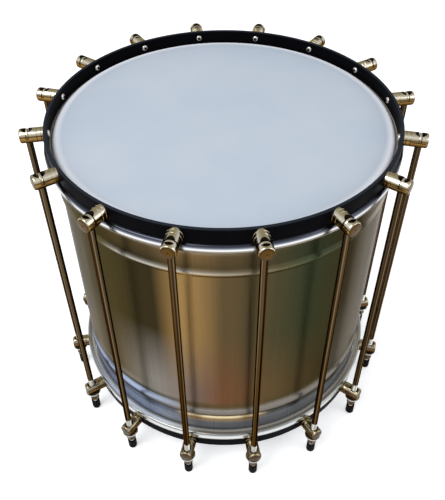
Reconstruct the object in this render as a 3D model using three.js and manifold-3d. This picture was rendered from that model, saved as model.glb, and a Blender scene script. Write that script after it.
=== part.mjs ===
// Repinique: a small, deep metal drum with two heads and full-length tension rods.
// Lengths are millimetres and +Z is up. The origin lies on the drum's axis, on the ground that its
// rubber caps stand on, and the first tension rod is on the +X side.

import * as THREE from "three";
import { mergeGeometries, mergeVertices } from "three/addons/utils/BufferGeometryUtils.js";
import Module from "manifold-3d";

const wasm = await Module();
wasm.setup();

// Fit between pieces that touch
const seatGap = 0.3;

// Shell: a tube of rolled sheet with rounded bearing edges and a rolled bead near each end
const shellDiameter = 304.8;
const shellHeight = 280;
const shellWall = 1.2;
const bearingRadius = 4;
const bearingLipAngle = THREE.MathUtils.degToRad(135);
const beadSetback = 40;
const beadWidth = 9;
const beadRise = 1.8;
const beadOuterShares = [0, 0.2, 0.5, 0.8, 1];
const beadInnerShares = [0, 0.5, 1];

// Heads: a film drawn over the bearing edge, with its skirt glued inside a flesh hoop
const filmThickness = 0.4;
const skirtDepth = 10.5;
const fleshHoopWidth = 7;
const fleshHoopHeight = 9;
const fleshHoopRounding = 2.6;

// Counterhoops: plain bands that press the flesh hoops down
const counterhoopHeight = 14;
const counterhoopWall = 3.5;
const counterhoopInset = 2;
const counterhoopEdge = 1.2;

// Barrel posts: stand out of the counterhoops, with their feet set in the band, and carry the rods
const rodCount = 16;
const postDiameter = 13;
const postRise = 4.4;
const postStandoff = 13.6;
const postRootShare = 0.5;
const postOverhang = 7;
const postChamfer = 1.2;
const postBoreClearance = 0.4;
const postCountersinkWidth = 1.1;
const postSpotFaceDepth = 0.8;

// Tension rods: flattened at the top to a T-shaped head that fills the post's slot
const rodDiameter = 6;
const rodHeadThickness = 2;
const rodHeadRecess = 0.5;
const rodNeckLength = 1.2;

// Washers, tension nuts and rubber caps at the rods' lower ends
const washerDiameter = 16;
const washerThickness = 1.5;
const nutAcrossFlats = 9;
const nutHeight = 13;
const nutChamfer = 0.7;
const nutCollarDiameter = 8;
const nutCollarHeight = 2;
const nutTravel = 2;
const capDiameter = 8.8;
const capHeight = 14;
const capRounding = 1.6;

// Facets round each kind of piece
const ringSides = 48;
const barrelSides = 10;
const washerSides = 10;
const boreSides = 8;
const shaftSides = 8;
const hexSides = 6;
const arcSteps = 3;

// Radii, from the shell outwards
const shellRadius = shellDiameter / 2;
const skirtInner = shellRadius + seatGap;
const skirtOuter = skirtInner + filmThickness;
const fleshHoopInner = skirtOuter + seatGap;
const fleshHoopOuter = fleshHoopInner + fleshHoopWidth;
const counterhoopOuter = fleshHoopOuter - counterhoopInset;
const counterhoopInner = counterhoopOuter - counterhoopWall;
const rodCircleRadius = counterhoopOuter + postStandoff;
const postRadius = postDiameter / 2;
const rodRadius = rodDiameter / 2;
const runningRadius = rodRadius + seatGap;

// Heights over a bearing edge, counted outwards along the axis
const counterhoopFoot = postRise - counterhoopHeight / 2;
const fleshHoopTop = counterhoopFoot - seatGap;
const fleshHoopFoot = fleshHoopTop - fleshHoopHeight;

// Heights over the ground, from the caps upwards
const nutFoot = capHeight + seatGap + nutTravel;
const washerFoot = nutFoot + nutHeight + seatGap;
const spotFaceHeight = washerFoot + washerThickness + seatGap;
const lowerPostHeight = spotFaceHeight + postRadius - postSpotFaceDepth;
const lowerEdgeHeight = lowerPostHeight + postRise;
const upperEdgeHeight = lowerEdgeHeight + shellHeight;
const upperPostHeight = upperEdgeHeight + postRise;

const overrun = 1;
const rodPitchAngle = (2 * Math.PI) / rodCount;

function point(x, y) {
  return new THREE.Vector2(x, y);
}

// Points on an arc about a centre, in the plane of an outline.
function arc(centre, radius, from, to, steps) {
  const points = [];
  for (let i = 0; i <= steps; i += 1) {
    const angle = from + ((to - from) * i) / steps;
    points.push(point(centre.x + radius * Math.cos(angle), centre.y + radius * Math.sin(angle)));
  }
  return points;
}

// Makes a solid of a closed geometry, so that it can be joined or cut.
function solidOf(geometry) {
  const bare = geometry.clone();
  bare.deleteAttribute("normal");
  bare.deleteAttribute("uv");
  const merged = mergeVertices(bare);
  const mesh = new wasm.Mesh({
    numProp: 3,
    vertProperties: merged.attributes.position.array,
    triVerts: new Uint32Array(merged.index.array),
  });
  return new wasm.Manifold(mesh);
}

// Gives a solid back as a geometry.
function geometryOf(solid) {
  const mesh = solid.getMesh();
  const geometry = new THREE.BufferGeometry();
  geometry.setAttribute("position", new THREE.BufferAttribute(mesh.vertProperties, 3));
  geometry.setIndex(new THREE.BufferAttribute(mesh.triVerts, 1));
  geometry.computeVertexNormals();
  return geometry;
}

function cut(body, ...tools) {
  return geometryOf(tools.reduce((left, tool) => left.subtract(solidOf(tool)), solidOf(body)));
}

function join(...bodies) {
  return geometryOf(bodies.map(solidOf).reduce((sum, body) => sum.add(body)));
}

// Turns an outline of (radius, height) points about Z. It runs upwards on its outer side. The flats of
// the facets lie at the outline's radius, so a bore is never tight and a ring is met by a flat.
function turned(outline, sides) {
  const toFlats = 1 / Math.cos(Math.PI / sides);
  const corners = outline.map((p) => point(p.x * toFlats, p.y));
  return new THREE.LatheGeometry(corners, sides, Math.PI / sides).rotateX(Math.PI / 2);
}

// The same with the corners at the outline's radius, for a shaft that has to enter a bore.
function turnedShaft(outline, sides) {
  return new THREE.LatheGeometry(outline, sides).rotateX(Math.PI / 2);
}

function closed(points) {
  return [...points, points[0]];
}

// A plain cylinder about Z that cuts a bore.
function boreTool(radius, from, to) {
  return turned([point(0, from), point(radius, from), point(radius, to), point(0, to)], boreSides);
}

// Lays what was made about Z along +X, outwards from the drum's axis.
function laidRadially(geometry) {
  return geometry.rotateY(Math.PI / 2);
}

// One geometry that holds a copy at every rod, each a separate solid.
function aroundTheDrum(geometry) {
  const copies = [];
  for (let i = 0; i < rodCount; i += 1) {
    copies.push(geometry.clone().rotateZ(i * rodPitchAngle));
  }
  return mergeGeometries(copies);
}

function beadPoints(centreHeight, surfaceRadius, shares) {
  return shares.map((share) =>
    point(
      surfaceRadius + beadRise * Math.sin(Math.PI * share),
      centreHeight + beadWidth * (share - 0.5),
    ),
  );
}

// The shell, with its lower bearing edge at height zero.
function shellGeometry() {
  const innerRadius = shellRadius - shellWall;
  const innerBend = bearingRadius - shellWall;
  const lowerBend = point(shellRadius - bearingRadius, bearingRadius);
  const upperBend = point(lowerBend.x, shellHeight - bearingRadius);
  const lowerBead = beadSetback;
  const upperBead = shellHeight - beadSetback;
  const lip = bearingLipAngle;
  return turned(
    closed([
      ...arc(lowerBend, bearingRadius, -lip, 0, arcSteps),
      ...beadPoints(lowerBead, shellRadius, beadOuterShares),
      ...beadPoints(upperBead, shellRadius, beadOuterShares),
      ...arc(upperBend, bearingRadius, 0, lip, arcSteps),
      ...arc(upperBend, innerBend, lip, 0, arcSteps - 1),
      ...beadPoints(upperBead, innerRadius, beadInnerShares).reverse(),
      ...beadPoints(lowerBead, innerRadius, beadInnerShares).reverse(),
      ...arc(lowerBend, innerBend, 0, -lip, arcSteps - 1),
    ]),
    ringSides,
  );
}

// A head's film: flat over the drum, round over the bearing edge, and down inside its flesh hoop.
function filmGeometry() {
  const bend = point(shellRadius - bearingRadius, -bearingRadius);
  const innerBend = bearingRadius + seatGap;
  const outerBend = innerBend + filmThickness;
  const bendSteps = arcSteps - 1;
  return turned(
    [
      point(0, seatGap),
      ...arc(bend, innerBend, Math.PI / 2, 0, bendSteps),
      point(skirtInner, -skirtDepth),
      point(skirtOuter, -skirtDepth),
      ...arc(bend, outerBend, 0, Math.PI / 2, bendSteps),
      point(0, seatGap + filmThickness),
    ],
    ringSides,
  );
}

function fleshHoopGeometry() {
  const cornerRadius = fleshHoopOuter - fleshHoopRounding;
  const foot = point(cornerRadius, fleshHoopFoot + fleshHoopRounding);
  const top = point(cornerRadius, fleshHoopTop - fleshHoopRounding);
  const cornerSteps = arcSteps - 1;
  return turned(
    closed([
      point(fleshHoopInner, fleshHoopFoot),
      ...arc(foot, fleshHoopRounding, -Math.PI / 2, 0, cornerSteps),
      ...arc(top, fleshHoopRounding, 0, Math.PI / 2, cornerSteps),
      point(fleshHoopInner, fleshHoopTop),
    ]),
    ringSides,
  );
}

// A counterhoop: a band with softened outer rim, and a post at every rod.
function counterhoopGeometry(post) {
  const rim = counterhoopFoot + counterhoopHeight;
  const band = turned(
    closed([
      point(counterhoopInner, counterhoopFoot),
      point(counterhoopOuter, counterhoopFoot),
      point(counterhoopOuter, rim - counterhoopEdge),
      point(counterhoopOuter - counterhoopEdge, rim),
      point(counterhoopInner + counterhoopEdge, rim),
      point(counterhoopInner, rim - counterhoopEdge),
    ]),
    ringSides,
  );
  return join(band, aroundTheDrum(post.translate(rodCircleRadius, 0, postRise)));
}

// A post's bare barrel along X, from its root in the band. The rod crosses it at the origin.
function barrelGeometry() {
  const root = -postStandoff - counterhoopWall * postRootShare;
  const end = postOverhang;
  const barrel = turned(
    [
      point(0, root),
      point(postRadius, root),
      point(postRadius, end - postChamfer),
      point(postRadius - postChamfer, end),
      point(0, end),
    ],
    barrelSides,
  );
  return laidRadially(barrel);
}

// Cuts the rod's bore, with its countersunk mouth on the post's upper side.
function rodBoreTool() {
  const bore = rodRadius + postBoreClearance;
  const mouth = bore + postCountersinkWidth;
  return turned(
    [
      point(0, -postDiameter),
      point(bore, -postDiameter),
      point(bore, postRadius - postCountersinkWidth),
      point(mouth, postRadius),
      point(mouth, postDiameter),
      point(0, postDiameter),
    ],
    boreSides,
  );
}

// A post of the batter side: a slot across it, half its depth, seats the rod's flattened head.
function slottedPostGeometry() {
  const slotWidth = rodHeadThickness + 2 * seatGap;
  const slot = new THREE.BoxGeometry(slotWidth, 2 * postDiameter, postDiameter);
  slot.translate(0, 0, postDiameter / 2);
  return cut(barrelGeometry(), rodBoreTool(), slot);
}

// A post of the resonant side: plain bore, with a spot face below for the washer.
function drilledPostGeometry() {
  const spotFace = postSpotFaceDepth - postRadius;
  const radius = washerDiameter / 2 + seatGap;
  const tool = turned(
    [point(0, -postDiameter), point(radius, -postDiameter), point(radius, spotFace), point(0, spotFace)],
    washerSides,
  );
  return cut(barrelGeometry(), rodBoreTool(), tool);
}

// The flattened head of a rod, seen along the drum's radius: its arms rest on the slot's floor, and its
// round back follows the barrel, a little inside it.
function rodHeadGeometry() {
  const radius = postRadius - rodHeadRecess;
  const end = Math.asin(seatGap / radius);
  const centre = point(0, upperPostHeight);
  const outline = new THREE.Shape(arc(centre, radius, end, Math.PI - end, 2 * arcSteps));
  const plate = new THREE.ExtrudeGeometry(outline, { depth: rodHeadThickness, bevelEnabled: false });
  plate.translate(0, 0, -rodHeadThickness / 2);
  return plate.rotateX(Math.PI / 2).rotateZ(Math.PI / 2);
}

// A tension rod over the ground, with the rubber cap that is pushed on its end.
function rodGeometry() {
  const slotFloor = upperPostHeight + seatGap;
  const shaft = turnedShaft(
    [
      point(0, capHeight / 2),
      point(rodRadius, capHeight / 2),
      point(rodRadius, slotFloor),
      point(rodHeadThickness / 2, slotFloor + rodNeckLength),
      point(0, slotFloor + rodNeckLength),
    ],
    shaftSides,
  );
  return join(shaft, rodHeadGeometry(), capGeometry());
}

function washerGeometry() {
  const radius = washerDiameter / 2;
  return turned(
    closed([
      point(runningRadius, 0),
      point(radius, 0),
      point(radius, washerThickness),
      point(runningRadius, washerThickness),
    ]),
    washerSides,
  );
}

// A hex nut with its corners eased above and a round collar below, foot at height zero.
function nutGeometry() {
  const flat = nutAcrossFlats / 2;
  const hex = turned(
    [
      point(0, nutCollarHeight),
      point(flat, nutCollarHeight),
      point(flat, nutHeight - nutChamfer),
      point(flat - nutChamfer, nutHeight),
      point(0, nutHeight),
    ],
    hexSides,
  );
  const collarRadius = nutCollarDiameter / 2;
  const collarTop = nutCollarHeight + nutChamfer;
  const collar = turnedShaft(
    [point(0, 0), point(collarRadius, 0), point(collarRadius, collarTop), point(0, collarTop)],
    shaftSides,
  );
  return cut(join(hex, collar), boreTool(runningRadius, -overrun, nutHeight + overrun));
}

// A rubber cap with a rounded foot.
function capGeometry() {
  const radius = capDiameter / 2;
  return turned(
    [
      point(0, 0),
      point(radius - capRounding, 0),
      point(radius, capRounding),
      point(radius, capHeight),
      point(0, capHeight),
    ],
    shaftSides,
  );
}

function finish(color, metalness, roughness) {
  return new THREE.MeshStandardMaterial({ color, metalness, roughness });
}

const polishedAluminium = () => finish(0xc9c7c1, 1, 0.2);
const brightAluminium = () => finish(0xe4e5e8, 1, 0.3);
const nickelPlate = () => finish(0xcfc5ae, 1, 0.15);
const zincPlate = () => finish(0xd8dadb, 1, 0.3);
const blackPaint = () => finish(0x15151b, 0.2, 0.35);
const coatedFilm = () => finish(0xd9dfea, 0, 0.6);

function named(name, geometry, material) {
  const mesh = new THREE.Mesh(geometry, material);
  mesh.name = name;
  return mesh;
}

// A head with its two hoops, over a bearing edge at height zero.
function drumEnd(side, post) {
  const end = new THREE.Group();
  end.add(
    named(side + "_head", filmGeometry(), coatedFilm()),
    named(side + "_flesh_hoop", fleshHoopGeometry(), brightAluminium()),
    named(side + "_counterhoop", counterhoopGeometry(post), blackPaint()),
  );
  return end;
}

// Places a copy of a piece at every rod, each under its own name.
function eachRod(baseName, geometry, material, height) {
  const ring = new THREE.Group();
  for (let i = 0; i < rodCount; i += 1) {
    const station = new THREE.Group();
    const piece = named(baseName + "_" + String(i + 1).padStart(2, "0"), geometry, material());
    piece.position.set(rodCircleRadius, 0, height);
    station.rotation.z = i * rodPitchAngle;
    station.add(piece);
    ring.add(station);
  }
  return ring;
}

function repinique() {
  const drum = new THREE.Group();
  const shell = named("shell", shellGeometry(), polishedAluminium());
  shell.position.z = lowerEdgeHeight;
  const batterEnd = drumEnd("batter", slottedPostGeometry());
  batterEnd.position.z = upperEdgeHeight;
  const resonantEnd = drumEnd("resonant", drilledPostGeometry().rotateX(Math.PI));
  resonantEnd.position.z = lowerEdgeHeight;
  resonantEnd.rotation.x = Math.PI;
  drum.add(
    shell,
    batterEnd,
    resonantEnd,
    eachRod("tension_rod", rodGeometry(), nickelPlate, 0),
    eachRod("nut_washer", washerGeometry(), zincPlate, washerFoot),
    eachRod("tension_nut", nutGeometry(), nickelPlate, nutFoot),
  );
  return drum;
}

export default repinique();
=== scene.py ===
"""Looks of a repinique, a small two-headed metal drum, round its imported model.

Lengths are metres in the model's frame: the drum's axis is Z, the ground that its caps stand on is
at zero, and the first tension rod stands on the +X side. Angles are radians unless a name says deg.
"""

import logging
import math
from dataclasses import dataclass
from enum import Enum
from typing import Callable, ClassVar, Sequence

import bmesh
import bpy
from mathutils import Matrix, Vector


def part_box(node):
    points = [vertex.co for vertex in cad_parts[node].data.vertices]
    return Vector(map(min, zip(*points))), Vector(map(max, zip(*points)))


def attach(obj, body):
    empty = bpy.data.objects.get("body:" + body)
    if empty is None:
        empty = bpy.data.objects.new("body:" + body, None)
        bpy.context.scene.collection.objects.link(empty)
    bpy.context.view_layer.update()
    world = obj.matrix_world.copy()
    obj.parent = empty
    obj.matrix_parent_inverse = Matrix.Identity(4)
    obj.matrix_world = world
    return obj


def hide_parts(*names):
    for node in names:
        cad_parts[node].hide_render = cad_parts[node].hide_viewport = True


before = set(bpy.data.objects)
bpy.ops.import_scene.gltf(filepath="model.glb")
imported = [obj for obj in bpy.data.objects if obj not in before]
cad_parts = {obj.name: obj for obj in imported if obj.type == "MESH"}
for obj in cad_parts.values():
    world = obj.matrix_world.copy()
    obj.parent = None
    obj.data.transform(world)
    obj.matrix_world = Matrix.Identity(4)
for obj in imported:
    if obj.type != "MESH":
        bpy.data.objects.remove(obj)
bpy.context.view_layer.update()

# A stop is a position, a hex colour and, where it hides less than fully, how far it covers.
Stops = Sequence[tuple[float, str] | tuple[float, str, float]]
# A position, and the cover or another number that holds there.
Covers = Sequence[tuple[float, float]]
# Where a value comes from: a socket, or a node that stands for its first output.
Source = bpy.types.Node | bpy.types.NodeSocket
# What a node's inputs get, by their names or numbers or in the node's own order.
Inputs = dict | Sequence

MM = 0.001
OWN_PLACE = "own_place"
log = logging.getLogger("repinique")


def linear(hex_colour: str, cover: float = 1.0) -> tuple[float, float, float, float]:
    """Turns an sRGB hex colour into a linear RGBA one.

    Args:
        hex_colour: six hex digits, such as "c9cdd6".
        cover: the alpha.

    Returns:
        Linear red, green and blue, and the alpha.
    """
    shares = [int(hex_colour[i:i + 2], 16) / 255 for i in (0, 2, 4)]
    colour = tuple(c / 12.92 if c <= 0.04045 else ((c + 0.055) / 1.055) ** 2.4 for c in shares)
    return colour + (cover,)


def arc(centre: Vector, radius: float, start_deg: float, stop_deg: float, steps: int) -> list[Vector]:
    """Gives the points of a round stretch of an outline.

    Args:
        centre: the arc's centre as (radius, height).
        radius: the arc's own radius.
        start_deg: where it starts, counted from outwards and turning upwards.
        stop_deg: where it stops.
        steps: how many straight steps it has.

    Returns:
        The points, both ends included.
    """
    angles = [math.radians(start_deg + (stop_deg - start_deg) * i / steps) for i in range(steps + 1)]
    return [centre + radius * Vector((math.cos(a), math.sin(a))) for a in angles]


def point(radius: float, height: float) -> Vector:
    """Gives one corner of an outline."""
    return Vector((radius, height))


def hexagon(corner: float, turn: float = 0.0) -> list[tuple[float, float]]:
    """Gives a hexagon's corners, turned by a share of a side."""
    angles = [math.tau * (k + turn) / 6 for k in range(6)]
    return [(corner * math.cos(a), corner * math.sin(a)) for a in angles]


class Axis(Enum):
    """The model's axes, as unit vectors."""

    X = (1.0, 0.0, 0.0)
    Y = (0.0, 1.0, 0.0)
    Z = (0.0, 0.0, 1.0)


class Cut(Enum):
    """What a second blank does to the first."""

    AWAY = "DIFFERENCE"
    COMMON = "INTERSECT"


class Blend(Enum):
    """How a colour mixes with the one under it."""

    OVER = "MIX"
    SOFT = "SOFT_LIGHT"


class Blank:
    """A workpiece under the tools: a mesh with the few operations that this drum's pieces need."""

    weld = 1e-7

    def __init__(self) -> None:
        """Starts an empty workpiece."""
        self.mesh = bmesh.new()

    @classmethod
    def turned(cls, outline: Sequence[Vector], sides: int, closed: bool = True) -> "Blank":
        """Turns an outline about Z.

        Args:
            outline: its points as (radius, height).
            sides: steps round the full turn.
            closed: whether the last point joins the first, as on a ring.

        Returns:
            The turned workpiece, with its faces outwards.
        """
        made = cls()
        corners = [made.mesh.verts.new((p.x, 0.0, p.y)) for p in outline]
        pairs = list(zip(corners, corners[1:])) + ([(corners[-1], corners[0])] if closed else [])
        edges = [made.mesh.edges.new(pair) for pair in pairs]
        bmesh.ops.spin(
            made.mesh, geom=corners + edges, cent=(0, 0, 0), axis=Axis.Z.value, dvec=(0, 0, 0),
            angle=math.tau, steps=sides, use_merge=True, use_duplicate=False,
        )
        return made.cleaned()

    @classmethod
    def threaded(
        cls, root: float, crest: float, pitch: float, foot: float, top: float, sides: int,
    ) -> "Blank":
        """Winds a thread's ridge up Z and trims it flat at both ends.

        Args:
            root: radius in the grooves.
            crest: radius on the ridge.
            pitch: rise of one turn.
            foot: height of its lower end.
            top: height of its upper end.
            sides: steps in one turn.

        Returns:
            The closed, threaded workpiece.
        """
        made = cls()
        ridge = [(root, 0.0), (crest, 0.4), (crest, 0.55), (root, 0.95), (root, 1.0)]
        corners = [made.mesh.verts.new((r, 0.0, foot - pitch + share * pitch)) for r, share in ridge]
        edges = [made.mesh.edges.new(pair) for pair in zip(corners, corners[1:])]
        turns = math.ceil((top - foot) / pitch) + 1
        bmesh.ops.spin(
            made.mesh, geom=corners + edges, cent=(0, 0, 0), axis=Axis.Z.value,
            dvec=(0, 0, pitch / sides), angle=math.tau * turns, steps=sides * turns,
            use_merge=False, use_duplicate=False,
        )
        bmesh.ops.remove_doubles(made.mesh, verts=made.mesh.verts, dist=pitch * 0.01)
        for height, normal in ((foot, (0, 0, -1)), (top, (0, 0, 1))):
            bmesh.ops.bisect_plane(
                made.mesh, geom=made.everything(),
                plane_co=(0, 0, height), plane_no=normal, clear_outer=True, clear_inner=False,
            )
        rims = [e for e in made.mesh.edges if e.is_boundary]
        bmesh.ops.holes_fill(made.mesh, edges=rims, sides=0)
        return made.cleaned()

    @classmethod
    def prism(cls, outline: Sequence[tuple[float, float]], depth: float) -> "Blank":
        """Raises a flat outline along Z, half of it to each side of zero.

        Args:
            outline: its corners as (x, y).
            depth: its whole depth along Z.

        Returns:
            The closed prism.
        """
        made = cls()
        base = made.mesh.faces.new([made.mesh.verts.new((x, y, -depth / 2)) for x, y in outline])
        raised = bmesh.ops.extrude_face_region(made.mesh, geom=[base], use_keep_orig=True)["geom"]
        tops = [v for v in raised if isinstance(v, bmesh.types.BMVert)]
        bmesh.ops.translate(made.mesh, vec=(0, 0, depth), verts=tops)
        return made.cleaned()

    def everything(self) -> list:
        """Gives all corners, edges and faces."""
        return self.mesh.verts[:] + self.mesh.edges[:] + self.mesh.faces[:]

    def cleaned(self) -> "Blank":
        """Welds what touches and turns every face outwards.

        Returns:
            The same workpiece.
        """
        bmesh.ops.remove_doubles(self.mesh, verts=self.mesh.verts, dist=self.weld)
        bmesh.ops.recalc_face_normals(self.mesh, faces=self.mesh.faces)
        return self

    def moved(self, x: float = 0.0, y: float = 0.0, z: float = 0.0) -> "Blank":
        """Shifts the workpiece."""
        bmesh.ops.translate(self.mesh, vec=(x, y, z), verts=self.mesh.verts)
        return self

    def swung(self, angle: float, axis: Axis) -> "Blank":
        """Turns the workpiece about an axis through the origin.

        Args:
            angle: how far.
            axis: the axis.

        Returns:
            The same workpiece.
        """
        turn = Matrix.Rotation(angle, 3, axis.value)
        bmesh.ops.rotate(self.mesh, cent=(0, 0, 0), matrix=turn, verts=self.mesh.verts)
        return self

    def softened(self, width: float, segments: int, sharper_than_deg: float = 30.0) -> "Blank":
        """Rounds the sharp edges.

        Args:
            width: how far the rounding reaches from an edge.
            segments: steps across it.
            sharper_than_deg: only edges that turn by more than this are rounded.

        Returns:
            The same workpiece.
        """
        limit = math.radians(sharper_than_deg)
        sharp = [e for e in self.mesh.edges if e.is_manifold and e.calc_face_angle(0.0) > limit]
        bmesh.ops.bevel(
            self.mesh, geom=sharp, offset=width, offset_type="OFFSET", affect="EDGES",
            segments=segments, profile=0.5, material=-1, clamp_overlap=True,
        )
        return self

    def shaped(self, tool: "Blank", cut: Cut) -> "Blank":
        """Cuts the workpiece with another one.

        Args:
            tool: the other workpiece, which is used up.
            cut: whether the tool's shape is taken away or only the shared part kept.

        Returns:
            The cut workpiece.
        """
        work, cutter = self.as_object("work"), tool.as_object("cutter")
        modifier = work.modifiers.new("cut", "BOOLEAN")
        modifier.operation = cut.value
        modifier.solver = "EXACT"
        modifier.object = cutter
        settled = work.evaluated_get(bpy.context.evaluated_depsgraph_get())
        result = Blank()
        result.mesh.from_mesh(settled.to_mesh())
        settled.to_mesh_clear()
        for spent in (work, cutter):
            bpy.data.meshes.remove(spent.data)
        return result.cleaned()

    def painted(self, finish: int, wanted: Callable[[Vector], bool]) -> "Blank":
        """Gives some faces another of the piece's finishes.

        Args:
            finish: the finish's number, where the main one is 0.
            wanted: tells from a face's middle whether it is one of them.

        Returns:
            The same workpiece.
        """
        for face in self.mesh.faces:
            if wanted(face.calc_center_median()):
                face.material_index = finish
        return self

    def joined(self, other: "Blank") -> "Blank":
        """Takes another workpiece in as a separate body.

        Args:
            other: the other workpiece, which is used up.

        Returns:
            The same workpiece.
        """
        passing = bpy.data.meshes.new("passing")
        other.mesh.to_mesh(passing)
        self.mesh.from_mesh(passing)
        other.mesh.free()
        bpy.data.meshes.remove(passing)
        return self

    def remembered(self) -> "Blank":
        """Notes each corner's place on the bare piece, which its finish needs once it is set up.

        Returns:
            The same workpiece.
        """
        layer = self.mesh.verts.layers.float_vector.new(OWN_PLACE)
        for corner in self.mesh.verts:
            corner[layer] = corner.co
        return self

    def copied(self) -> "Blank":
        """Makes a second, equal workpiece.

        Returns:
            The second workpiece.
        """
        made = Blank()
        made.mesh.free()
        made.mesh = self.mesh.copy()
        return made

    def repeated(self, count: int) -> "Blank":
        """Sets copies of the workpiece evenly round Z.

        Args:
            count: how many there are then, with the first.

        Returns:
            The same workpiece.
        """
        bmesh.ops.spin(
            self.mesh, geom=self.everything(),
            cent=(0, 0, 0), axis=Axis.Z.value, dvec=(0, 0, 0),
            angle=math.tau * (count - 1) / count, steps=count - 1,
            use_merge=False, use_duplicate=True,
        )
        return self

    def as_object(self, name: str) -> bpy.types.Object:
        """Turns the workpiece into an object, which uses it up.

        Args:
            name: the object's name.

        Returns:
            The object.
        """
        mesh = bpy.data.meshes.new(name)
        self.mesh.to_mesh(mesh)
        self.mesh.free()
        made = bpy.data.objects.new(name, mesh)
        bpy.context.scene.collection.objects.link(made)
        return made

    def finished(
        self, name: str, *materials: bpy.types.Material, sharp_deg: float = 32.0,
    ) -> bpy.types.Object:
        """Gives the workpiece its name, its finishes and smooth shading.

        Args:
            name: the piece's name.
            materials: its finishes, the main one first.
            sharp_deg: edges that turn by more than this stay crisp.

        Returns:
            The finished object.
        """
        made = self.as_object(name)
        for material in materials:
            made.data.materials.append(material)
        made.data.shade_smooth()
        made.data.set_sharp_from_angle(angle=math.radians(sharp_deg))
        return made


def feed(tree: bpy.types.NodeTree, node: bpy.types.Node, inputs: Inputs) -> None:
    """Sets a node's inputs.

    Args:
        tree: the node's tree.
        node: the node.
        inputs: a number, a vector, a hex colour or a source for each input.
    """
    pairs = inputs.items() if isinstance(inputs, dict) else enumerate(inputs)
    for name, value in pairs:
        source = value.outputs[0] if isinstance(value, bpy.types.Node) else value
        if isinstance(source, bpy.types.NodeSocket):
            tree.links.new(source, node.inputs[name])
        else:
            node.inputs[name].default_value = linear(source) if isinstance(source, str) else source


def add_node(
    tree: bpy.types.NodeTree, kind: str, inputs: Inputs = (), stops: Stops = (), **settings: object,
) -> bpy.types.Node:
    """Adds a shader node with its settings and links.

    Args:
        tree: where it goes.
        kind: the node's type.
        inputs: a number, a vector, a hex colour or a source for each input.
        stops: a colour ramp's positions and hex colours, with a cover where a stop hides less than fully.
        settings: the node's own properties.

    Returns:
        The new node.
    """
    made = tree.nodes.new(kind)
    for name, value in settings.items():
        setattr(made, name, value)
    feed(tree, made, inputs)
    for index, (position, colour, *cover) in enumerate(stops):
        elements = made.color_ramp.elements
        element = elements[index] if index < len(elements) else elements.new(position)
        element.position = position
        element.color = linear(colour, *cover)
    return made


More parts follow.
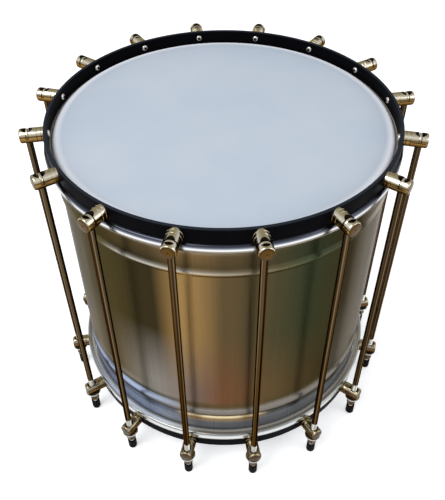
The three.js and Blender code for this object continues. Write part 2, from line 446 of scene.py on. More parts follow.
class Surface:
    """A material's surface under work, with the patterns and layers that the finishes are made of.

    Noise stays near 0.5, so a finish uses only a stretch of its values: pattern, or the narrower
    fine_pattern for crisper lines.
    """

    pattern = (0.3, 0.7)
    fine_pattern = (0.35, 0.65)

    def __init__(self, material: bpy.types.Material, on_fitting: bool) -> None:
        """Clears a material and gives it a new shader.

        Args:
            material: the material.
            on_fitting: whether places are measured on a small fitting's bare shape and not on the drum.
        """
        material.use_nodes = True
        self.tree = material.node_tree
        self.tree.nodes.clear()
        self.shader = self.add("ShaderNodeBsdfPrincipled")
        self.add("ShaderNodeOutputMaterial", {"Surface": self.shader})
        if on_fitting:
            self.place = self.add("ShaderNodeAttribute", attribute_name=OWN_PLACE).outputs["Vector"]
        else:
            self.place = self.add("ShaderNodeTexCoord").outputs["Object"]
        self.axes = self.add("ShaderNodeSeparateXYZ", (self.place,)).outputs

    def add(
        self, kind: str, inputs: Inputs = (), stops: Stops = (), **settings: object,
    ) -> bpy.types.Node:
        """Adds a node to the material's tree."""
        return add_node(self.tree, kind, inputs, stops, **settings)

    def apply(self, inputs: Inputs) -> None:
        """Sets the shader's own inputs."""
        feed(self.tree, self.shader, inputs)

    def radius(self, across: Sequence[float] = (1.0, 1.0, 0.0)) -> bpy.types.NodeSocket:
        """Measures the distance from an axis, where across is 1 square to it and 0 along it."""
        flat = self.add("ShaderNodeVectorMath", (self.place, across), operation="MULTIPLY")
        return self.add("ShaderNodeVectorMath", (flat,), operation="LENGTH").outputs["Value"]

    def turn(self) -> bpy.types.Node:
        """Measures the direction from Z as a share of a full turn, from -X through -Y, +X and +Y."""
        angle = self.add("ShaderNodeMath", (self.axes["Y"], self.axes["X"]), operation="ARCTAN2")
        return self.add("ShaderNodeMapRange", (angle, -math.pi, math.pi, 0.0, 1.0))

    def grain(self, width: float, length: float | None = None) -> bpy.types.Node:
        """Makes noise with grains of a real size.

        Args:
            width: a grain's size across Z.
            length: its size along Z, as drawn or rolled metal has, or none where it is as long as wide.

        Returns:
            The noise, about 0.5 on average.
        """
        scale = (1 / width, 1 / width, 1 / (length or width))
        scaled = self.add("ShaderNodeMapping", {"Vector": self.place, "Scale": scale})
        inputs = {"Vector": scaled, "Scale": 1.0, "Detail": 2.0, "Roughness": 0.55}
        return self.add("ShaderNodeTexNoise", inputs)

    def rings(self, distance: Source, pitch: float, detail: float = 1.0) -> bpy.types.Node:
        """Makes the uneven rings that a lathe's tool leaves.

        Args:
            distance: what the tool moved along.
            pitch: the real distance between two rings.
            detail: how many finer layers lie on them.

        Returns:
            The noise, about 0.5 on average.
        """
        inputs = {"W": distance, "Scale": 1 / pitch, "Detail": detail}
        return self.add("ShaderNodeTexNoise", inputs, noise_dimensions="1D")

    def shade(
        self, value: Source, stops: Stops, low: float = 0.0, high: float = 1.0,
    ) -> bpy.types.NodeOutputs:
        """Colours the surface along a measure.

        Args:
            value: the measure.
            stops: the colours at shares of its stretch.
            low: the measure at the stretch's start.
            high: the measure at its end.

        Returns:
            The colour, and its cover as the alpha.
        """
        share = self.add("ShaderNodeMapRange", (value, low, high, 0.0, 1.0))
        return self.add("ShaderNodeValToRGB", (share,), stops).outputs

    def level(
        self, value: Source, covers: Covers, low: float = 0.0, high: float = 1.0, full: float = 1.0,
    ) -> bpy.types.Node:
        """Gives a number that changes along a measure.

        Args:
            value: the measure.
            covers: the numbers, from 0 to full, at shares of its stretch.
            low: the measure at the stretch's start.
            high: the measure at its end.
            full: the largest number.

        Returns:
            The number.
        """
        shares = [(position, "000000", number / full) for position, number in covers]
        share = self.shade(value, shares, low, high)["Alpha"]
        return self.add("ShaderNodeMath", (share, full), operation="MULTIPLY")

    def lay(
        self, under: Source | str, over: Source | str, value: Source, low: float = 0.0, high: float = 1.0,
        strength: float = 1.0, blend: Blend = Blend.OVER,
    ) -> bpy.types.NodeSocket:
        """Lays one colour over another.

        Args:
            under: the lower colour.
            over: the upper colour.
            value: the measure or pattern that says where it lies.
            low: the value at which it sets in.
            high: the value at which it covers most.
            strength: how far it covers there.
            blend: how the two colours mix.

        Returns:
            The colour of both.
        """
        cover = self.add("ShaderNodeMapRange", (value, low, high, 0.0, strength))
        inputs = {0: cover, 6: under, 7: over}
        return self.add("ShaderNodeMix", inputs, data_type="RGBA", blend_type=blend.value).outputs[2]

    def roughen(self, pattern: Source, smooth: float, rough: float) -> None:
        """Lets a pattern vary the roughness between two values."""
        roughness = self.add("ShaderNodeMapRange", (pattern, *self.pattern, smooth, rough))
        self.apply({"Roughness": roughness})

    def press(self, pattern: Source, depth: float) -> None:
        """Presses a pattern into the surface to a real depth."""
        relief = self.add("ShaderNodeBump", {"Height": pattern, "Distance": depth, "Strength": 1.0})
        self.apply({"Normal": relief})


@dataclass(frozen=True)
class Finish:
    """A surface finish, which builds its own material."""

    on_fitting: ClassVar[bool] = False
    name: str

    def material(self) -> bpy.types.Material:
        """Builds the material.

        Returns:
            The material.
        """
        made = bpy.data.materials.new(self.name)
        self.dress(Surface(made, self.on_fitting))
        return made

    def dress(self, surface: Surface) -> None:
        """Sets the surface up. Each finish has its own."""
        raise NotImplementedError


class Tone(str, Enum):
    """The tones of the polished sheet's painted reflections, highlights and shade, from its mirror-bright
    crests down to its darkest streaks.
    """

    CREAM = "fff0c8"
    FROST = "a8b8d8"
    SILVER = "b8b4a8"
    GOLD = "9c7c4c"
    ASH = "84807a"
    STEEL = "687690"
    BRONZE = "806438"
    SMOKE = "606468"
    RUSSET = "684630"
    WALNUT = "584830"
    OLIVE = "464028"
    FOREST = "303828"
    DUSK = "302a1c"


@dataclass(frozen=True)
class PolishedSheet(Finish):
    """Rolled and polished aluminium sheet, with its reflections painted into its colour.

    Long upright streaks go from grey through gold and brown to olive round the shell: painted reflections
    of a room. Round the beads lie painted highlights with painted shade lines beside them, bluish painted
    reflections on the left and golden painted highlights in front. They don't reach the strip along the
    lower hoop, which is less metallic and painted bluish grey, a painted reflection of the hoop's face.
    Fine polish lines run upwards, here about three times coarser than real ones, and blur what the shell
    mirrors.

    The streaks' stops and the places are shares of the full turn, and the bands' stops are shares of top.
    The painted highlight bands say how many times brighter the streaks are there than elsewhere.
    """

    name: str = "polished aluminium sheet"
    upper_height: float = 200 * MM
    lower_height: float = 120 * MM
    # The strip along the lower hoop is less metallic, so that its painted bluish grey reflection of the
    # hoop's face shows as colour.
    matt_strip_top: float = 68 * MM
    matt_strip_end: float = 71 * MM
    top: float = 330 * MM
    matt_strip_metallic: float = 0.3
    line_size: tuple[float, float] = (6 * MM, 500 * MM)
    line_tone: str = "d8d8d8"
    line_strength: float = 0.3
    polish_size: tuple[float, float] = (0.9 * MM, 90 * MM)
    polish_depth: float = 0.01 * MM
    roughness: tuple[float, float] = (0.26, 0.38)
    edge_tint: str = "c8c2b8"
    # upper and lower: painted reflections of a room, as upright streaks round the shell.
    upper: Stops = (
        (0.00, Tone.SMOKE), (0.08, Tone.OLIVE), (0.16, Tone.DUSK), (0.19, Tone.GOLD), (0.22, Tone.WALNUT),
        (0.30, Tone.FOREST), (0.35, Tone.DUSK), (0.40, Tone.ASH), (0.60, Tone.BRONZE), (1.00, Tone.SMOKE),
    )
    lower: Stops = (
        (0.00, Tone.ASH), (0.10, Tone.WALNUT), (0.15, Tone.ASH), (0.22, Tone.RUSSET), (0.27, Tone.WALNUT),
        (0.33, Tone.DUSK), (0.40, Tone.ASH), (0.60, Tone.BRONZE), (1.00, Tone.ASH),
    )
    # Painted highlight: the streaks are made brighter round the upper bead and above it.
    painted_highlight_gain: float = 2.0
    painted_highlight_bands: Covers = (
        (0.840, 1.0), (0.845, 0.8), (0.850, 2.0), (0.863, 2.0), (0.868, 0.8), (0.905, 0.8), (0.930, 1.4),
    )
    # Painted highlights, shade and reflections: light and dark lines round the lower bead, the grey strip
    # along the lower hoop and a grey band under the upper hoop.
    bands: Stops = (
        (0.155, Tone.ASH), (0.170, Tone.SMOKE), (0.210, Tone.SMOKE), (0.238, Tone.DUSK),
        (0.256, Tone.ASH, 0.8), (0.268, Tone.ASH, 0.8), (0.285, Tone.OLIVE, 0.6), (0.303, Tone.OLIVE, 0),
        (0.926, Tone.WALNUT, 0), (0.936, Tone.ASH, 0.9),
    )
    # Painted reflection of bluish light on the left round the lower bead, with painted shade lines beside
    # it.
    left_place: Covers = ((0.01, 0), (0.05, 1), (0.13, 1), (0.19, 0))
    left_bands: Stops = (
        (0.150, Tone.STEEL), (0.236, Tone.STEEL), (0.250, Tone.DUSK), (0.260, Tone.FROST),
        (0.272, Tone.FROST), (0.284, Tone.FOREST), (0.303, Tone.ASH, 0.8), (0.326, Tone.ASH, 0),
    )
    # Painted highlight on the upper bead's crest in front, with a painted shade line under it.
    crest_place: Covers = ((0.11, 0), (0.13, 1), (0.19, 1), (0.27, 0))
    crest_bands: Stops = (
        (0.847, Tone.WALNUT, 0), (0.856, Tone.SILVER), (0.865, Tone.DUSK, 0.8), (0.910, Tone.WALNUT, 0.6),
        (0.936, Tone.SILVER, 0.9),
    )
    # Painted golden highlight at the lower bead in front, with painted reflection and shade lines round
    # it.
    gold_place: Covers = ((0.17, 0), (0.19, 1), (0.25, 1), (0.27, 0))
    gold_bands: Stops = (
        (0.195, Tone.SMOKE), (0.215, Tone.GOLD), (0.227, Tone.CREAM), (0.240, Tone.WALNUT),
        (0.260, Tone.ASH), (0.276, Tone.WALNUT), (0.303, Tone.WALNUT, 0),
    )

    def banded(
        self, surface: Surface, under: Source, bands: Stops, place: Covers = (),
    ) -> bpy.types.NodeSocket:
        """Lays level bands over the streaks.

        Args:
            surface: the surface under work.
            under: the colour under them.
            bands: their colours up the shell.
            place: their cover round the shell, or none where they go all round.

        Returns:
            The banded colour.
        """
        laid = surface.shade(surface.axes["Z"], bands, high=self.top)
        cover = laid["Alpha"]
        if place:
            zone = surface.level(surface.turn(), place)
            cover = surface.add("ShaderNodeMath", (cover, zone), operation="MULTIPLY")
        return surface.lay(under, laid["Color"], cover)

    def dress(self, surface: Surface) -> None:
        """Lays painted reflection streaks, painted highlight and shade bands round the beads, and polish
        lines over each other.

        Args:
            surface: the surface under work.
        """
        height = surface.axes["Z"]
        # Painted reflections: upright streaks round the shell.
        low, high = (surface.shade(surface.turn(), stops)["Color"] for stops in (self.lower, self.upper))
        tone = surface.lay(low, high, height, self.lower_height, self.upper_height)
        # Painted highlight round the upper bead.
        gain = surface.level(height, self.painted_highlight_bands, high=self.top, full=self.painted_highlight_gain)
        tone = surface.add("ShaderNodeVectorMath", {0: tone, "Scale": gain}, operation="SCALE")
        # Painted highlight, shade and reflection bands round the beads and along the hoops.
        tone = self.banded(surface, tone, self.bands)
        # Painted bluish reflection on the left.
        tone = self.banded(surface, tone, self.left_bands, self.left_place)
        # Painted highlight on the upper bead in front.
        tone = self.banded(surface, tone, self.crest_bands, self.crest_place)
        # Painted golden highlight in front.
        tone = self.banded(surface, tone, self.gold_bands, self.gold_place)
        lines = (surface.grain(*self.line_size), *surface.pattern, self.line_strength)
        tone = surface.lay(tone, self.line_tone, *lines, Blend.SOFT)
        # Less metallic in the strip along the lower hoop, where the painted reflection of the hoop's face
        # lies.
        bare = (height, self.matt_strip_top, self.matt_strip_end, self.matt_strip_metallic, 1.0)
        surface.apply({
            "Base Color": tone, "Specular Tint": self.edge_tint,
            "Metallic": surface.add("ShaderNodeMapRange", bare),
        })
        polish = surface.grain(*self.polish_size)
        surface.roughen(polish, *self.roughness)
        surface.press(polish, self.polish_depth)


@dataclass(frozen=True)
class TurnedAluminium(Finish):
    """Bright aluminium, turned on a lathe: fine rings, a polished rim and a matt flat face.

    The face's outer part carries a painted reflection, bluish on the left and creamy on the right, where
    its stops are shares of the full turn. The face's own stops go outwards, with a painted highlight line,
    and the rim's go upwards.
    """

    name: str = "turned aluminium"
    foot: float = 0.0
    top: float = 1.0
    rim: Stops = ()
    face_inner: float = 153.4 * MM
    face_outer: float = 158.4 * MM
    face_metallic: float = 0.35
    # The face's light band at 0.30 is a painted highlight line.
    face: Stops = (
        (0.00, "808080"), (0.30, "c4beb0"), (0.60, "807c74"), (0.90, "807c74"), (1.00, "c0c0c0", 0),
    )
    # Painted reflection on the face's outer part: bluish on the left, creamy on the right.
    glow_inner: float = 154.6 * MM
    glow_outer: float = 155.6 * MM
    glow: Stops = (
        (0.02, "d0d8e8", 0), (0.09, "dce8fa"), (0.16, "ecf4ff"), (0.20, "ecf4ff", 0),
        (0.34, "b8ae98", 0), (0.41, "b8ae98", 0.8), (0.52, "b8ae98", 0),
    )
    ring_pitch: float = 0.8 * MM
    ring_detail: float = 2.0
    ring_depth: float = 0.02 * MM
    roughness: tuple[float, float] = (0.16, 0.28)

    def dress(self, surface: Surface) -> None:
        """Draws the turning marks as rings, and the painted reflection over the outer part of the flat
        face.

        Args:
            surface: the surface under work.
        """
        radius = surface.radius()
        side = surface.shade(surface.axes["Z"], self.rim, self.foot, self.top)["Color"]
        face = surface.shade(radius, self.face, self.face_inner, self.face_outer)
        tone = surface.lay(side, face["Color"], face["Alpha"])
        # Painted reflection, laid by turn and outwards over the face.
        glow = surface.shade(surface.turn(), self.glow)
        outer = (radius, self.glow_inner, self.glow_outer, 0.0, 1.0)
        outwards = surface.add("ShaderNodeMapRange", outer)
        cover = surface.add("ShaderNodeMath", (glow["Alpha"], outwards), operation="MULTIPLY")
        reflected = surface.lay(tone, glow["Color"], cover)
        matt = (face["Alpha"], 0.0, 1.0, 1.0, self.face_metallic)
        surface.apply({
            "Base Color": surface.lay(tone, reflected, face["Alpha"]),
            "Metallic": surface.add("ShaderNodeMapRange", matt),
        })
        rings = surface.rings(radius, self.ring_pitch, self.ring_detail)
        surface.roughen(rings, *self.roughness)
        surface.press(rings, self.ring_depth)


@dataclass(frozen=True)
class BlackEnamel(Finish):
    """Black enamel, sprayed on steel: deep, bluish black, with a grey painted sheen along its upper edge.
    """

    name: str = "black enamel"
    dark: str = "050506"
    light: str = "0d0d11"
    cloud: float = 18 * MM
    # Painted sheen: a grey band along the upper edge.
    edge_sheen: str = "262a31"
    sheen_start: float = 331.9 * MM
    sheen_end: float = 332.7 * MM
    haze: float = 4 * MM
    roughness: tuple[float, float] = (0.3, 0.42)
    gloss: float = 0.01
    peel: float = 2.2 * MM
    peel_depth: float = 0.03 * MM

    def dress(self, surface: Surface) -> None:
        """Sets a dark gloss with little reflection and a slight orange peel.

        Args:
            surface: the surface under work.
        """
        black = surface.lay(self.dark, self.light, surface.grain(self.cloud))
        # Painted sheen along the upper edge.
        tone = surface.lay(black, self.edge_sheen, surface.axes["Z"], self.sheen_start, self.sheen_end)
        surface.apply({"Base Color": tone, "Specular IOR Level": self.gloss})
        surface.roughen(surface.grain(self.haze), *self.roughness)
        surface.press(surface.grain(self.peel), self.peel_depth)


@dataclass(frozen=True)
class CoatedFilm(Finish):
    """Polyester film with a sprayed white coat: matt, slightly grainy, and paler where it bends down."""

    name: str = "coated drum film"
    dark: str = "b2bdca"
    light: str = "b9c2cd"
    cloud: float = 60 * MM
    bent: str = "f2f4fa"
    bend_start: float = 144 * MM
    bend_end: float = 150.5 * MM
    roughness: float = 0.62
    gloss: float = 0.3
    grit: float = 0.9 * MM
    grit_depth: float = 0.05 * MM

    def dress(self, surface: Surface) -> None:
        """Clouds the coat faintly and lightens its rim.

        Args:
            surface: the surface under work.
        """
        tone = surface.lay(self.dark, self.light, surface.grain(self.cloud), *surface.pattern)
        surface.apply({
            "Base Color": surface.lay(tone, self.bent, surface.radius(), self.bend_start, self.bend_end),
            "Roughness": self.roughness,
            "Specular IOR Level": self.gloss,
        })
        surface.press(surface.grain(self.grit), self.grit_depth)


@dataclass(frozen=True)
class NickelBarrel(Finish):
    """Nickel plate on turned brass, with light and shade painted on: a painted highlight above, a dark
    painted reflection line, and painted shade, warmer and browner, round the under side.
    """

    on_fitting: ClassVar[bool] = True
    name: str = "nickel plate on brass"
    reach: float = 6.5 * MM
    centre: float = 0.0
    # Painted light and shade from the under side up: painted shade below, a dark painted reflection line,
    # then a painted highlight on top.
    shades: Stops = (
        (0.00, "2c1c0c"), (0.30, "584020"), (0.55, "987844"), (0.65, "584020"), (0.72, "c4b898"),
        (0.84, "f4ecda"), (1.00, "a09470"),
    )
    ring_pitch: float = 1.3 * MM
    ring_tone: str = "808080"
    ring_strength: float = 0.3
    roughness: tuple[float, float] = (0.14, 0.24)
    edge_tint: str = "b8ae9c"

    def dress(self, surface: Surface) -> None:
        """Paints shade and highlight on the barrel from its under side to its top, and draws faint turning
        rings round it.

        Args:
            surface: the surface under work.
        """
        low, high = self.centre - self.reach, self.centre + self.reach
        tone = surface.shade(surface.axes["Z"], self.shades, low, high)["Color"]
        rings = surface.rings(surface.axes["X"], self.ring_pitch)
        where = (rings, *surface.fine_pattern, self.ring_strength)
        surface.apply({
            "Base Color": surface.lay(tone, self.ring_tone, *where, Blend.SOFT),
            "Metallic": 1.0,
            "Specular Tint": self.edge_tint,
        })
        surface.roughen(rings, *self.roughness)


@dataclass(frozen=True)
class ShadedNickel(NickelBarrel):
    """Nickel plate as on the upper posts, darker and browner as painted shade near the ground, with a
    painted highlight only on its ridge.
    """

    name: str = "dulled nickel plate on brass"
    # Painted shade: darker and browner than on the upper posts, with a painted highlight on the ridge.
    shades: Stops = (
        (0.00, "1c1208"), (0.35, "3c2c14"), (0.60, "74583a"), (0.70, "4a3820"), (0.90, "ccc0a0"),
        (1.00, "8c7c58"),
    )


@dataclass(frozen=True)
class TurnedBrass(Finish):
    """Bare brass on a barrel's turned end: brown-gold, with fine rings round its centre."""

    on_fitting: ClassVar[bool] = True
    name: str = "turned brass end"
    across_barrel: tuple[float, float, float] = (0.0, 1.0, 1.0)
    dark: str = "43300f"
    light: str = "65491c"
    reach: float = 5 * MM
    rim: Stops = (
        (0.00, "1c1208"), (0.12, "2a1c0c", 0.75), (0.20, "5c4524", 0), (0.80, "5c4524", 0),
        (0.95, "402e1a", 0.88),
    )
    ring_pitch: float = 0.7 * MM
    ring_depth: float = 0.02 * MM
    roughness: float = 0.3

    def dress(self, surface: Surface) -> None:
        """Draws the tool's rings and darkens the middle and the rim.

        Args:
            surface: the surface under work.
        """
        radius = surface.radius(self.across_barrel)
        rings = surface.rings(radius, self.ring_pitch)
        tone = surface.lay(self.dark, self.light, rings, *surface.pattern)
        rim = surface.shade(radius, self.rim, high=self.reach)
        surface.apply({
            "Base Color": surface.lay(tone, rim["Color"], rim["Alpha"]),
            "Metallic": 1.0,
            "Roughness": self.roughness,
        })
        surface.press(rings, self.ring_depth)


@dataclass(frozen=True)
class ShadeInRecesses(Finish):
    """Painted shade in bores, countersunk mouths, slots and screw sockets: nearly black brown."""

    name: str = "painted shade in recesses"
    dark: str = "080503"
    light: str = "1a130c"
    speck: float = 0.8 * MM
    roughness: float = 0.55
    gloss: float = 0.05

    def dress(self, surface: Surface) -> None:
        """Mottles the painted shade.

        Args:
            surface: the surface under work.
        """
        surface.apply({
            "Base Color": surface.lay(self.dark, self.light, surface.grain(self.speck)),
            "Roughness": self.roughness,
            "Specular IOR Level": self.gloss,
        })


@dataclass(frozen=True)
class DrawnRod(Finish):
    """Nickel plate on drawn steel: brown gold with dark and light lines along the whole rod, which are
    painted reflections.
    """

    on_fitting: ClassVar[bool] = True
    name: str = "nickel plate on drawn steel"
    line_count: float = 4.0
    # Painted reflections: dark and light lines, repeated four times round the rod.
    lines: Stops = (
        (0.00, "584834"), (0.22, "2a2014"), (0.42, "4c3c2a"), (0.52, "84745a"), (0.64, "504230"),
        (1.00, "584834"),
    )
    scratch_size: tuple[float, float] = (0.8 * MM, 60 * MM)
    scratch_tone: str = "909090"
    scratch_strength: float = 0.4
    roughness: tuple[float, float] = (0.16, 0.28)
    edge_tint: str = "857862"

    def dress(self, surface: Surface) -> None:
        """Sets the painted reflection lines round the rod and blurs them with finer ones.

        Args:
            surface: the surface under work.
        """
        counted = surface.add("ShaderNodeMath", (surface.turn(), self.line_count), operation="MULTIPLY")
        share = surface.add("ShaderNodeMath", (counted,), operation="FRACT")
        tone = surface.shade(share, self.lines)["Color"]
        scratches = surface.grain(*self.scratch_size)
        where = (scratches, *surface.fine_pattern, self.scratch_strength)
        surface.apply({
            "Base Color": surface.lay(tone, self.scratch_tone, *where, Blend.SOFT),
            "Metallic": 1.0,
            "Specular Tint": self.edge_tint,
        })
        surface.roughen(scratches, *self.roughness)


@dataclass(frozen=True)
class NickelNut(Finish):
    """Nickel plate on a cut steel nut: dark brown gold, lighter towards its upper end, with a painted
    highlight on its collar below.
    """

    on_fitting: ClassVar[bool] = True
    name: str = "nickel plate on steel nut"
    foot: float = 16.3 * MM
    top: float = 29.3 * MM
    # The pale band at the foot is a painted highlight on the collar.
    shades: Stops = (
        (0.00, "b3a68c"), (0.12, "8c7a58"), (0.20, "46351c"), (0.60, "5b4628"), (1.00, "8a7450"),
    )
    cloud: float = 2 * MM
    cloud_tone: str = "6e5a3a"
    roughness: float = 0.2

    def dress(self, surface: Surface) -> None:
        """Shades the nut along its height with small clouds.

        Args:
            surface: the surface under work.
        """
        tone = surface.shade(surface.axes["Z"], self.shades, self.foot, self.top)["Color"]
        clouded = surface.lay(tone, self.cloud_tone, surface.grain(self.cloud), blend=Blend.SOFT)
        surface.apply({"Base Color": clouded, "Metallic": 1.0, "Roughness": self.roughness})


@dataclass(frozen=True)
class ZincPlate(Finish):
    """Bright zinc plating on cut threads and washers: cool and slightly hazy."""

    name: str = "zinc plate"
    dark: str = "bab7ae"
    light: str = "ebe7dc"
    cloud: float = 1.5 * MM
    roughness: tuple[float, float] = (0.2, 0.36)

    def dress(self, surface: Surface) -> None:
        """Hazes the zinc in small clouds.

        Args:
            surface: the surface under work.
        """
        haze = surface.grain(self.cloud)
        surface.apply({"Base Color": surface.lay(self.dark, self.light, haze), "Metallic": 1.0})
        surface.roughen(haze, *self.roughness)


@dataclass(frozen=True)
class MouldedRubber(Finish):
    """Moulded black rubber: matt, with a fine grain and a soft sheen on its rounding."""

    name: str = "moulded rubber"
    dark: str = "060504"
    light: str = "0c0b09"
    grit: float = 1.2 * MM
    grit_depth: float = 0.05 * MM
    roughness: tuple[float, float] = (0.45, 0.65)
    gloss: float = 0.04

    def dress(self, surface: Surface) -> None:
        """Grains the rubber.

        Args:
            surface: the surface under work.
        """
        grit = surface.grain(self.grit)
        tone = surface.lay(self.dark, self.light, grit)
        surface.apply({"Base Color": tone, "Specular IOR Level": self.gloss})
        surface.roughen(grit, *self.roughness)
        surface.press(grit, self.grit_depth)


@dataclass(frozen=True)
class StudioPaper(Finish):
    """White background paper: nearly white to the camera and in metal, and it keeps the drum's shadow."""

    name: str = "white background paper"
    dark: str = "fcfcfc"
    light: str = "ffffff"
    fibre: float = 3 * MM
    roughness: float = 0.95
    lift: float = 0.42
    mirrored_lift: float = 0.25

    def dress(self, surface: Surface) -> None:
        """Sets a matt white with a faint fibre, lifted a little for rays that show it as background.

        Args:
            surface: the surface under work.
        """
        path = surface.add("ShaderNodeLightPath").outputs
        indirect = (path["Is Glossy Ray"], path["Is Transmission Ray"])
        either = surface.add("ShaderNodeMath", indirect, operation="MAXIMUM")
        mirrored = surface.add("ShaderNodeMath", (either, self.mirrored_lift), operation="MULTIPLY")
        direct = (path["Is Camera Ray"], self.lift, mirrored)
        surface.apply({
            "Base Color": surface.lay(self.dark, self.light, surface.grain(self.fibre)),
            "Roughness": self.roughness,
            "Specular IOR Level": 0.0,
            "Emission Color": self.light,
            "Emission Strength": surface.add("ShaderNodeMath", direct, operation="MULTIPLY_ADD"),
        })


class Slot(Enum):
    """The record's material slots."""

    SHELL = "shell"
    FLESH_HOOP = "flesh_hoop"
    COUNTERHOOP = "counterhoop"
    FILM = "head_film"
    NICKEL = "nickel"
    ZINC = "zinc"
    RUBBER = "rubber"


class Side(Enum):
    """The drum's two ends, with the direction that each faces."""

    BATTER = 1
    RESONANT = -1

    @property
    def prefix(self) -> str:
        """Gives the start of the end's node names."""
        return self.name.lower()


@dataclass(frozen=True)
class Layout:
    """Places that the pieces share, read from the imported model."""

    rod_count: int
    rod_circle: float
    lower_edge: float
    upper_edge: float
    lower_post: float
    upper_post: float
    post_end: float
    band_outer: float
    band_inner: float

    @classmethod
    def read(
        cls, band_inset: float = 2 * MM, band_wall: float = 3.5 * MM, post_rise: float = 4.4 * MM,
    ) -> "Layout":
        """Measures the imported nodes.

        Args:
            band_inset: how far a counterhoop's outside lies inside its flesh hoop's.
            band_wall: a counterhoop's thickness.
            post_rise: how far the posts lie beyond their bearing edge.

        Returns:
            The layout.
        """
        washer_low, washer_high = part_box("nut_washer_01")
        shell_low, shell_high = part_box("shell")
        band_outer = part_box("batter_flesh_hoop")[1].x - band_inset
        return cls(
            rod_count=sum(name.startswith("tension_rod_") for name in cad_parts),
            rod_circle=(washer_low.x + washer_high.x) / 2,
            lower_edge=shell_low.z,
            upper_edge=shell_high.z,
            lower_post=shell_low.z - post_rise,
            upper_post=shell_high.z + post_rise,
            post_end=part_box("batter_counterhoop")[1].x,
            band_outer=band_outer,
            band_inner=band_outer - band_wall,
        )

    def edge(self, side: Side) -> float:
        """Gives the height of an end's bearing edge."""
        return self.upper_edge if side is Side.BATTER else self.lower_edge

    def post(self, side: Side) -> float:
        """Gives the height of an end's posts."""
        return self.upper_post if side is Side.BATTER else self.lower_post


def settle(piece: bpy.types.Object, body: str, slot: Slot, *nodes: str) -> bpy.types.Object:
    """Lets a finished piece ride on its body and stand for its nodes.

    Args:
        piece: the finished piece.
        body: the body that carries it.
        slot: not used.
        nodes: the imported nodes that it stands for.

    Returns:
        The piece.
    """
    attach(piece, body)
    if nodes:
        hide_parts(*nodes)
    log.info("%s rides on %s", piece.name, body)
    return piece


@dataclass
class Shell:
    """The drum's body: rolled sheet with a rounded bearing edge and a rolled bead at each end."""

    layout: Layout
    wall: float = 1.2 * MM
    bead_rise: float = 1.8 * MM
    bead_width: float = 11 * MM
    bead_setback: float = 40 * MM
    edge_radius: float = 4 * MM
    lip_deg: float = 135.0
    sides: int = 256
    bead_steps: int = 20
    edge_steps: int = 14
    sharp_deg: float = 60.0

    def outline(self, inset: float) -> list[Vector]:
        """Draws the sheet's outer or inner line, from the lower lip to the upper one.

        Args:
            inset: how far inside the outer surface the line runs.

        Returns:
            Its points.
        """
        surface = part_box("shell")[1].x - self.bead_rise
        low, high = self.layout.lower_edge, self.layout.upper_edge
        bend = surface - self.edge_radius
        round_edge = self.edge_radius - inset
        points = arc(point(bend, low + self.edge_radius), round_edge, -self.lip_deg, 0, self.edge_steps)
        for centre in (low + self.bead_setback, high - self.bead_setback):
            for step in range(self.bead_steps + 1):
                share = step / self.bead_steps
                rise = self.bead_rise * (1 - math.cos(math.tau * share)) / 2
                points.append(point(surface - inset + rise, centre + self.bead_width * (share - 0.5)))
        points += arc(point(bend, high - self.edge_radius), round_edge, 0, self.lip_deg, self.edge_steps)
        return points

    def build(self) -> None:
        """Turns the shell and settles it."""
        outline = self.outline(0.0) + self.outline(self.wall)[::-1]
        blank = Blank.turned(outline, self.sides)
        piece = blank.finished("shell_look", PolishedSheet().material(), sharp_deg=self.sharp_deg)
        settle(piece, "drum", Slot.SHELL, "shell")


